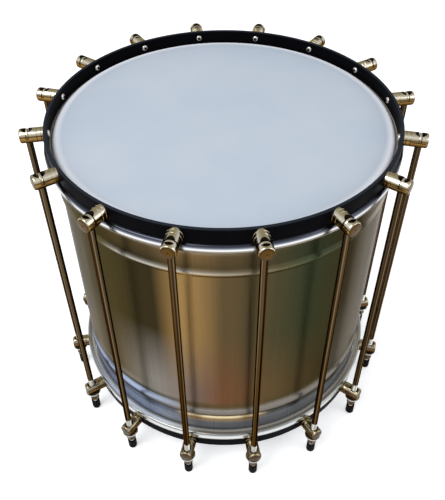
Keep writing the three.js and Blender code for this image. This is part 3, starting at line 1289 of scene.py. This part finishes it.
@dataclass
class Head:
    """A film drawn over a bearing edge, with its hoops."""

    layout: Layout
    side: Side
    film: float = 0.4 * MM
    film_gap: float = 0.3 * MM
    edge_radius: float = 4 * MM
    hoop_rounding: float = 2.6 * MM
    hoop_step_width: float = 3.2 * MM
    hoop_step_depth: float = 0.35 * MM
    band_edge: float = 1.5 * MM
    sides: int = 256
    arc_steps: int = 12
    film_sharp_deg: float = 60.0
    band_sharp_deg: float = 40.0

    def faced(self, blank: Blank) -> Blank:
        """Sets what was made over a bearing edge at zero on this end of the drum.

        Args:
            blank: the workpiece.

        Returns:
            The same workpiece, in its place.
        """
        if self.side is Side.RESONANT:
            blank.swung(math.pi, Axis.X)
        return blank.moved(z=self.layout.edge(self.side))

    def rise(self, height: float) -> float:
        """Gives a height of the model as a height over this end's bearing edge."""
        return (height - self.layout.edge(self.side)) * self.side.value

    def reach(self, node: str) -> tuple[float, float, float]:
        """Measures one of this end's nodes.

        Args:
            node: the node's name without its side.

        Returns:
            Its outer radius, and its foot and top over the bearing edge.
        """
        low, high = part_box(f"{self.side.prefix}_{node}")
        heights = sorted((self.rise(low.z), self.rise(high.z)))
        return high.x, heights[0], heights[1]

    def build_film(self, material: bpy.types.Material) -> None:
        """Turns the film with its collar and skirt.

        Args:
            material: its finish.
        """
        outer, foot, top = self.reach("head")
        bend = point(outer - self.film - self.film_gap - self.edge_radius, -self.edge_radius)
        inside = self.edge_radius + self.film_gap
        outline = [point(0, top - self.film)]
        outline += arc(bend, inside, 90, 0, self.arc_steps)
        outline += [point(outer - self.film, foot), point(outer, foot)]
        outline += arc(bend, inside + self.film, 0, 90, self.arc_steps)
        outline += [point(0, top)]
        blank = self.faced(Blank.turned(outline, self.sides, closed=False))
        piece = blank.finished(f"{self.side.prefix}_film", material, sharp_deg=self.film_sharp_deg)
        settle(piece, "drum", Slot.FILM, f"{self.side.prefix}_head")

    def hoop_finish(self) -> TurnedAluminium:
        """Picks the flesh hoop's shades, from its lower to its upper rim: a painted highlight across the
        middle, with painted shade and painted reflections towards the rims.

        Returns:
            The finish.
        """
        low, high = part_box(f"{self.side.prefix}_flesh_hoop")
        # Painted highlight across the middle, with painted shade and painted reflections towards the rims.
        if self.side is Side.BATTER:
            shades = (
                (0.00, "483820"), (0.36, "908878"), (0.50, "f2f4f8"), (0.72, "686c78"), (1.00, "282c34"),
            )
        else:
            shades = ((0.00, "504034"), (0.30, "c8c8c0"), (0.60, "e4e8ec"), (1.00, "888880"))
        name = f"turned aluminium, {self.side.prefix} end"
        return TurnedAluminium(name, foot=low.z, top=high.z, rim=shades)

    def build_flesh_hoop(self) -> None:
        """Turns the aluminium hoop, with a shallow step on the face that looks along the shell."""
        outer, foot, top = self.reach("flesh_hoop")
        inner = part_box(f"{self.side.prefix}_head")[1].x + self.film_gap
        rounding = self.hoop_rounding
        corner = outer - rounding
        step = inner + self.hoop_step_width
        outline = [
            point(inner, foot + self.hoop_step_depth),
            point(step, foot + self.hoop_step_depth),
            point(step + self.hoop_step_depth, foot),
        ]
        outline += arc(point(corner, foot + rounding), rounding, -90, 0, self.arc_steps)
        outline += arc(point(corner, top - rounding), rounding, 0, 90, self.arc_steps)
        outline += [point(inner, top)]
        blank = self.faced(Blank.turned(outline, self.sides))
        piece = blank.finished(f"{self.side.prefix}_flesh_ring", self.hoop_finish().material())
        settle(piece, "drum", Slot.FLESH_HOOP, f"{self.side.prefix}_flesh_hoop")

    def build_band(self, material: bpy.types.Material) -> None:
        """Turns the counterhoop's plain band with rounded rims.

        Args:
            material: its finish.
        """
        _, foot, top = self.reach("counterhoop")
        inner, outer = self.layout.band_inner, self.layout.band_outer
        round_edge = self.band_edge
        outline = [point(inner, foot), point(outer, foot)]
        outline += arc(point(outer - round_edge, top - round_edge), round_edge, 0, 90, self.arc_steps)
        outline += arc(point(inner + round_edge, top - round_edge), round_edge, 90, 180, self.arc_steps)
        blank = self.faced(Blank.turned(outline, self.sides))
        piece = blank.finished(f"{self.side.prefix}_band", material, sharp_deg=self.band_sharp_deg)
        settle(piece, "drum", Slot.COUNTERHOOP, f"{self.side.prefix}_counterhoop")


@dataclass
class Posts:
    """The barrel posts on one counterhoop, with the screws that hold them from inside the band."""

    layout: Layout
    side: Side
    radius: float = 6.5 * MM
    root_depth: float = 0.6 * MM
    edge: float = 1.8 * MM
    edge_deg: float = 80.0
    edge_steps: int = 6
    groove_places: tuple[float, ...] = (1.6 * MM, 5.2 * MM)
    groove_width: float = 0.5 * MM
    groove_depth: float = 0.25 * MM
    dimple: float = 0.8 * MM
    bore: float = 3.4 * MM
    mouth: float = 4.9 * MM
    slot_width: float = 2.6 * MM
    spot_face: float = 0.8 * MM
    washer_clearance: float = 8.3 * MM
    screw_radius: float = 3 * MM
    screw_rise: float = 2 * MM
    screw_dome: float = 1.7 * MM
    screw_socket: float = 1.5 * MM
    socket_depth: float = 1 * MM
    socket_rim: float = 1.8 * MM
    mouth_margin: float = 0.05 * MM
    bore_margin: float = 0.034 * MM
    slot_margin: float = 0.003 * MM
    sides: int = 56
    bore_sides: int = 40
    dome_steps: int = 8

    @property
    def root(self) -> float:
        """Gives where a barrel starts, seen from its rod."""
        return self.layout.band_outer - self.layout.rod_circle - self.root_depth

    @property
    def end(self) -> float:
        """Gives where a barrel ends, seen from its rod."""
        return self.layout.post_end - self.layout.rod_circle

    def barrel(self) -> Blank:
        """Turns a bare barrel and lays it outwards, with the rod's axis on Z.

        Returns:
            The barrel.
        """
        outline = [point(0, self.root), point(self.radius, self.root)]
        for place in self.groove_places:
            start = self.root + self.root_depth + place
            outline += [
                point(self.radius, start),
                point(self.radius - self.groove_depth, start + self.groove_width / 2),
                point(self.radius, start + self.groove_width),
            ]
        corner = point(self.radius - self.edge, self.end - self.edge)
        outline += arc(corner, self.edge, 0, self.edge_deg, self.edge_steps)
        outline += [point(self.dimple, self.end), point(0, self.end - self.dimple)]
        return Blank.turned(outline, self.sides, closed=False).swung(math.pi / 2, Axis.Y)

    def bored(self, blank: Blank) -> Blank:
        """Bores a barrel for its rod, with a countersunk mouth above.

        Args:
            blank: the barrel.

        Returns:
            The bored barrel.
        """
        sink = self.mouth - self.bore
        high = 2 * self.radius
        outline = [
            point(0, -high),
            point(self.bore, -high),
            point(self.bore, self.radius - sink),
            point(self.mouth, self.radius),
            point(self.mouth, high),
            point(0, high),
        ]
        return blank.shaped(Blank.turned(outline, self.bore_sides, closed=False), Cut.AWAY)

    def slotted(self, blank: Blank) -> Blank:
        """Cuts the cross slot that seats a rod's flattened head.

        Args:
            blank: the barrel.

        Returns:
            The slotted barrel.
        """
        half, long = self.slot_width / 2, 2 * self.radius
        corners = [(-half, -long), (half, -long), (half, long), (-half, long)]
        return blank.shaped(Blank.prism(corners, long).moved(z=long / 2), Cut.AWAY)

    def spot_faced(self, blank: Blank) -> Blank:
        """Cuts the flat seat for the washer on the under side.

        Args:
            blank: the barrel.

        Returns:
            The barrel with its seat.
        """
        low, face, wide = -2 * self.radius, self.spot_face - self.radius, self.washer_clearance
        outline = [point(0, low), point(wide, low), point(wide, face), point(0, face)]
        return blank.shaped(Blank.turned(outline, self.bore_sides, closed=False), Cut.AWAY)

    def in_recess(self, place: Vector) -> bool:
        """Tells whether a face lies in the bore, its mouth or the slot.

        Args:
            place: the face's middle, seen from the rod.

        Returns:
            Whether it does.
        """
        from_axis = math.hypot(place.x, place.y)
        sloped = place.z - (self.radius - self.mouth) + self.mouth_margin
        in_mouth = place.z > 0 and from_axis < sloped
        in_bore = from_axis < self.bore + self.bore_margin
        between = abs(place.x) < self.slot_width / 2 + self.slot_margin
        in_slot = self.side is Side.BATTER and between and place.z > -self.slot_margin
        return in_mouth or in_bore or in_slot

    def on_end(self, place: Vector) -> bool:
        """Tells whether a face lies on the barrel's turned end."""
        return place.x > self.end - self.edge / 4

    def in_socket(self, place: Vector) -> bool:
        """Tells whether a face lies in a screw's socket."""
        return math.hypot(place.x, place.y) < self.screw_socket and place.z < self.socket_rim

    def build_posts(self, *materials: bpy.types.Material) -> None:
        """Makes one post, sets copies round the drum and settles them.

        Args:
            materials: the finishes of the barrel, its end and the painted shade in its recesses.
        """
        blank = self.bored(self.barrel())
        blank = self.slotted(blank) if self.side is Side.BATTER else self.spot_faced(blank)
        # The bore, mouth and slot get painted shade as finish 2.
        blank.painted(1, self.on_end).painted(2, self.in_recess).remembered()
        blank.moved(x=self.layout.rod_circle, z=self.layout.post(self.side))
        blank.repeated(self.layout.rod_count)
        settle(blank.finished(f"{self.side.prefix}_posts", *materials), "drum", Slot.NICKEL)

    def build_screws(self, *materials: bpy.types.Material) -> None:
        """Makes a button-head screw with a hexagon socket, and sets copies inside the band.

        Args:
            materials: the finishes of the head and the painted shade in its socket.
        """
        outline = [point(0, -self.root_depth), point(self.screw_radius, -self.root_depth)]
        for step in range(self.dome_steps + 1):
            angle = math.pi / 2 * step / self.dome_steps
            height = self.screw_rise - self.screw_dome * (1 - math.sin(angle))
            outline.append(point(self.screw_radius * math.cos(angle), height))
        head = Blank.turned(outline, self.bore_sides, closed=False)
        socket = Blank.prism(hexagon(self.screw_socket), 2 * self.socket_depth).moved(z=self.screw_rise)
        # The hexagon socket gets painted shade.
        head = head.shaped(socket, Cut.AWAY).painted(1, self.in_socket)
        head.swung(-math.pi / 2, Axis.Y).moved(x=self.layout.band_inner, z=self.layout.post(self.side))
        head.repeated(self.layout.rod_count)
        settle(head.finished(f"{self.side.prefix}_post_screws", *materials), "drum", Slot.ZINC)


@dataclass
class Rods:
    """The tension rods with their T-heads, threads, washers, nuts and rubber caps."""

    layout: Layout
    radius: float = 3 * MM
    slot_gap: float = 0.3 * MM
    head: float = 2 * MM
    head_radius: float = 6 * MM
    head_edge: float = 0.3 * MM
    neck: float = 1.4 * MM
    thread_rise: float = 8.5 * MM
    thread_root: float = 2.55 * MM
    pitch: float = 1 * MM
    cap_radius: float = 4.4 * MM
    cap_height: float = 14 * MM
    cap_rounding: float = 2.2 * MM
    cap_lip: float = 0.5 * MM
    nut_flat: float = 4.5 * MM
    nut_collar: float = 4 * MM
    nut_collar_height: float = 2 * MM
    running: float = 3.3 * MM
    washer_radius: float = 8 * MM
    washer_edge: float = 0.35 * MM
    sides: int = 28
    head_steps: int = 24
    thread_sides: int = 20
    cap_steps: int = 10
    lip_steps: int = 4
    washer_sides: int = 48
    collar_sides: int = 40
    head_edge_steps: int = 2

    @property
    def thread_top(self) -> float:
        """Gives the height where the thread ends, a little over the lower posts."""
        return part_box("resonant_counterhoop")[1].z + self.thread_rise

    def shaft(self) -> Blank:
        """Makes the plain shaft with its neck and the rounded T-head.

        Returns:
            The shaft, with its head in the second finish.
        """
        seat = self.layout.upper_post + self.slot_gap
        shaft = Blank.turned([
            point(0, self.thread_top),
            point(self.thread_root, self.thread_top),
            point(self.radius, self.thread_top + self.radius - self.thread_root),
            point(self.radius, seat),
            point(self.head / 2, seat + self.neck),
            point(0, seat + self.neck),
        ], self.sides, closed=False)
        dip = math.degrees(math.asin(self.slot_gap / self.head_radius))
        back = arc(point(0, self.layout.upper_post), self.head_radius, dip, 180 - dip, self.head_steps)
        head = Blank.prism([(p.x, p.y) for p in back], self.head)
        head.softened(self.head_edge, self.head_edge_steps)
        head.swung(math.pi / 2, Axis.X).swung(math.pi / 2, Axis.Z)
        return shaft.joined(head.painted(1, lambda place: True))

    def thread(self) -> Blank:
        """Winds the thread from inside the cap to above the lower post.

        Returns:
            The thread.
        """
        return Blank.threaded(
            root=self.thread_root, crest=self.radius, pitch=self.pitch,
            foot=self.cap_height / 2, top=self.thread_top, sides=self.thread_sides,
        )

    def cap(self) -> Blank:
        """Makes the rubber cap: round foot, straight wall and a rounded lip.

        Returns:
            The cap.
        """
        corner, lip = self.cap_radius - self.cap_rounding, self.cap_lip
        outline = [point(0, 0)]
        outline += arc(point(corner, self.cap_rounding), self.cap_rounding, -90, 0, self.cap_steps)
        outline += arc(point(self.cap_radius - lip, self.cap_height - lip), lip, 0, 90, self.lip_steps)
        sunk = self.cap_height - 2 * lip
        outline += [point(self.running, self.cap_height), point(self.running, sunk), point(0, sunk)]
        return Blank.turned(outline, self.sides, closed=False)

    def washer(self) -> Blank:
        """Turns the washer under the post, with eased rims.

        Returns:
            The washer.
        """
        low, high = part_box("nut_washer_01")
        outer, ease = self.washer_radius, self.washer_edge
        return Blank.turned([
            point(self.running, low.z), point(outer - ease, low.z), point(outer, low.z + ease),
            point(outer, high.z - ease), point(outer - ease, high.z), point(self.running, high.z),
        ], self.washer_sides)

    def nut(self) -> Blank:
        """Makes the hexagon nut: corners eased on a cone, a plain bore and a collar below.

        Returns:
            The nut.
        """
        low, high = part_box("tension_nut_01")
        corner = self.nut_flat / math.cos(math.pi / 6)
        shoulder = low.z + self.nut_collar_height
        nut = Blank.prism(hexagon(corner, 0.5), high.z - shoulder).moved(z=(high.z + shoulder) / 2)
        ease = corner - self.nut_flat
        nut = nut.shaped(Blank.turned([
            point(0, shoulder), point(self.nut_flat, shoulder),
            point(corner, shoulder + ease), point(corner, high.z - ease),
            point(self.nut_flat, high.z), point(0, high.z),
        ], self.washer_sides, closed=False), Cut.COMMON)
        nut = nut.shaped(Blank.turned([
            point(0, low.z - self.pitch), point(self.running, low.z - self.pitch),
            point(self.running, high.z + self.pitch), point(0, high.z + self.pitch),
        ], self.sides, closed=False), Cut.AWAY)
        return nut.joined(Blank.turned([
            point(self.running, low.z), point(self.nut_collar - self.washer_edge, low.z),
            point(self.nut_collar, low.z + self.washer_edge), point(self.nut_collar, shoulder),
            point(self.running, shoulder),
        ], self.collar_sides))

    def set_up(
        self, master: Blank, number: int, name: str, *materials: bpy.types.Material,
    ) -> bpy.types.Object:
        """Sets a copy of a master piece at one rod's place.

        Args:
            master: the piece as made about Z.
            number: the rod's number, counted from 1.
            name: the piece's name without its number.
            materials: its finishes.

        Returns:
            The finished piece.
        """
        angle = math.tau * (number - 1) / self.layout.rod_count
        placed = master.copied().moved(x=self.layout.rod_circle).swung(angle, Axis.Z)
        return placed.finished(f"{name}_{number:02d}", *materials)

    def build(self, zinc: bpy.types.Material) -> None:
        """Makes each master piece once and sets copies up at all rods.

        Args:
            zinc: the finish of threads and washers.
        """
        drawn, nut_nickel = DrawnRod().material(), NickelNut().material()
        bright = NickelBarrel("nickel plate on rod head", centre=self.layout.upper_post).material()
        rubber = MouldedRubber().material()
        shaft, thread, cap = self.shaft().remembered(), self.thread(), self.cap()
        washer, nut = self.washer(), self.nut().remembered()
        for number in range(1, self.layout.rod_count + 1):
            label = f"{number:02d}"
            rod = self.set_up(shaft, number, "rod", drawn, bright)
            settle(rod, "drum", Slot.NICKEL, f"tension_rod_{label}")
            settle(self.set_up(thread, number, "rod_thread", zinc), "drum", Slot.ZINC)
            settle(self.set_up(cap, number, "cap", rubber), "drum", Slot.RUBBER)
            seat = self.set_up(washer, number, "washer_look", zinc)
            settle(seat, f"washer_{label}", Slot.ZINC, f"nut_washer_{label}")
            screwed = self.set_up(nut, number, "nut_look", nut_nickel)
            settle(screwed, f"nut_{label}", Slot.NICKEL, f"tension_nut_{label}")


@dataclass
class Lamp:
    """A square soft lamp."""

    name: str
    place: tuple[float, float, float]
    size: float
    power: float

    def build(self, aim: Vector) -> None:
        """Hangs the lamp and points it.

        Args:
            aim: where it points.
        """
        data = bpy.data.lights.new(self.name, "AREA")
        data.size, data.energy = self.size, self.power
        lamp = bpy.data.objects.new(self.name, data)
        bpy.context.scene.collection.objects.link(lamp)
        lamp.location = self.place
        lamp.rotation_euler = (aim - Vector(self.place)).to_track_quat("-Z", "Y").to_euler()
        log.info("%s lamp hangs over the drum", self.name)


@dataclass
class Studio:
    """Background paper, soft light and the camera."""

    lens: float = 46.19
    sensor: float = 36.0
    shift: tuple[float, float] = (-0.0032, -0.0408)
    aim_height: float = 0.187
    distance: float = 0.671
    azimuth_deg: float = -99.66
    elevation_deg: float = 42.79
    roll_deg: float = -0.25
    clip: tuple[float, float] = (0.01, 100.0)
    paper_size: float = 30.0
    sky: float = 0.75
    sky_colour: str = "f6f7fa"
    lamps: tuple[Lamp, ...] = (
        Lamp("key", (-0.9, -0.5, 1.6), size=1.0, power=14.0),
        Lamp("fill", (1.2, -0.8, 1.1), size=0.9, power=4.0),
    )

    @property
    def aim(self) -> Vector:
        """Gives the place on the drum's axis that camera and lamps point at."""
        return Vector((0, 0, self.aim_height))

    def build_camera(self) -> None:
        """Stands the camera where the photograph was taken from."""
        data = bpy.data.cameras.new("camera")
        data.lens, data.sensor_width = self.lens, self.sensor
        data.shift_x, data.shift_y = self.shift
        data.clip_start, data.clip_end = self.clip
        camera = bpy.data.objects.new("camera", data)
        bpy.context.scene.collection.objects.link(camera)
        azimuth, elevation = math.radians(self.azimuth_deg), math.radians(self.elevation_deg)
        level = Vector((math.cos(azimuth), math.sin(azimuth), 0)) * math.cos(elevation)
        back = level + Vector((0, 0, math.sin(elevation)))
        roll = Matrix.Rotation(math.radians(self.roll_deg), 3, "Z")
        view = (-back).to_track_quat("-Z", "Y").to_matrix() @ roll
        camera.matrix_world = Matrix.Translation(self.aim + back * self.distance) @ view.to_4x4()
        bpy.context.scene.camera = camera

    def build_paper(self) -> None:
        """Lays the background paper under the drum."""
        blank = Blank()
        bmesh.ops.create_grid(blank.mesh, x_segments=1, y_segments=1, size=self.paper_size / 2)
        blank.finished("paper", StudioPaper().material())
        log.info("paper lies under the drum")

    def build_sky(self) -> None:
        """Sets the pale surroundings."""
        world = bpy.data.worlds.new("pale studio")
        world.use_nodes = True
        tree = world.node_tree
        tree.nodes.clear()
        sky = add_node(tree, "ShaderNodeBackground", {"Color": self.sky_colour, "Strength": self.sky})
        add_node(tree, "ShaderNodeOutputWorld", {"Surface": sky})
        bpy.context.scene.world = world

    def build(self) -> None:
        """Builds the studio."""
        self.build_camera()
        self.build_paper()
        self.build_sky()
        for lamp in self.lamps:
            lamp.build(self.aim)


def main() -> None:
    """Builds the drum and its studio."""
    logging.basicConfig(level=logging.INFO, format="%(message)s")
    bpy.context.scene.view_settings.view_transform = "Standard"
    layout = Layout.read()
    Studio().build()
    Shell(layout).build()
    film, enamel = CoatedFilm().material(), BlackEnamel().material()
    zinc, recess = ZincPlate().material(), ShadeInRecesses().material()
    # The resonant end's barrels and brass ends are darker: painted shade near the ground.
    shaded_end = TurnedBrass("brass end in painted shade", dark="2c1c06", light="50380f")
    barrels = {Side.BATTER: NickelBarrel(), Side.RESONANT: ShadedNickel()}
    ends = {Side.BATTER: TurnedBrass(), Side.RESONANT: shaded_end}
    for side in Side:
        head = Head(layout, side)
        head.build_film(film)
        head.build_flesh_hoop()
        head.build_band(enamel)
        posts = Posts(layout, side)
        posts.build_posts(barrels[side].material(), ends[side].material(), recess)
        posts.build_screws(zinc, recess)
    Rods(layout).build(zinc)


if __name__ == "__main__":
    main()
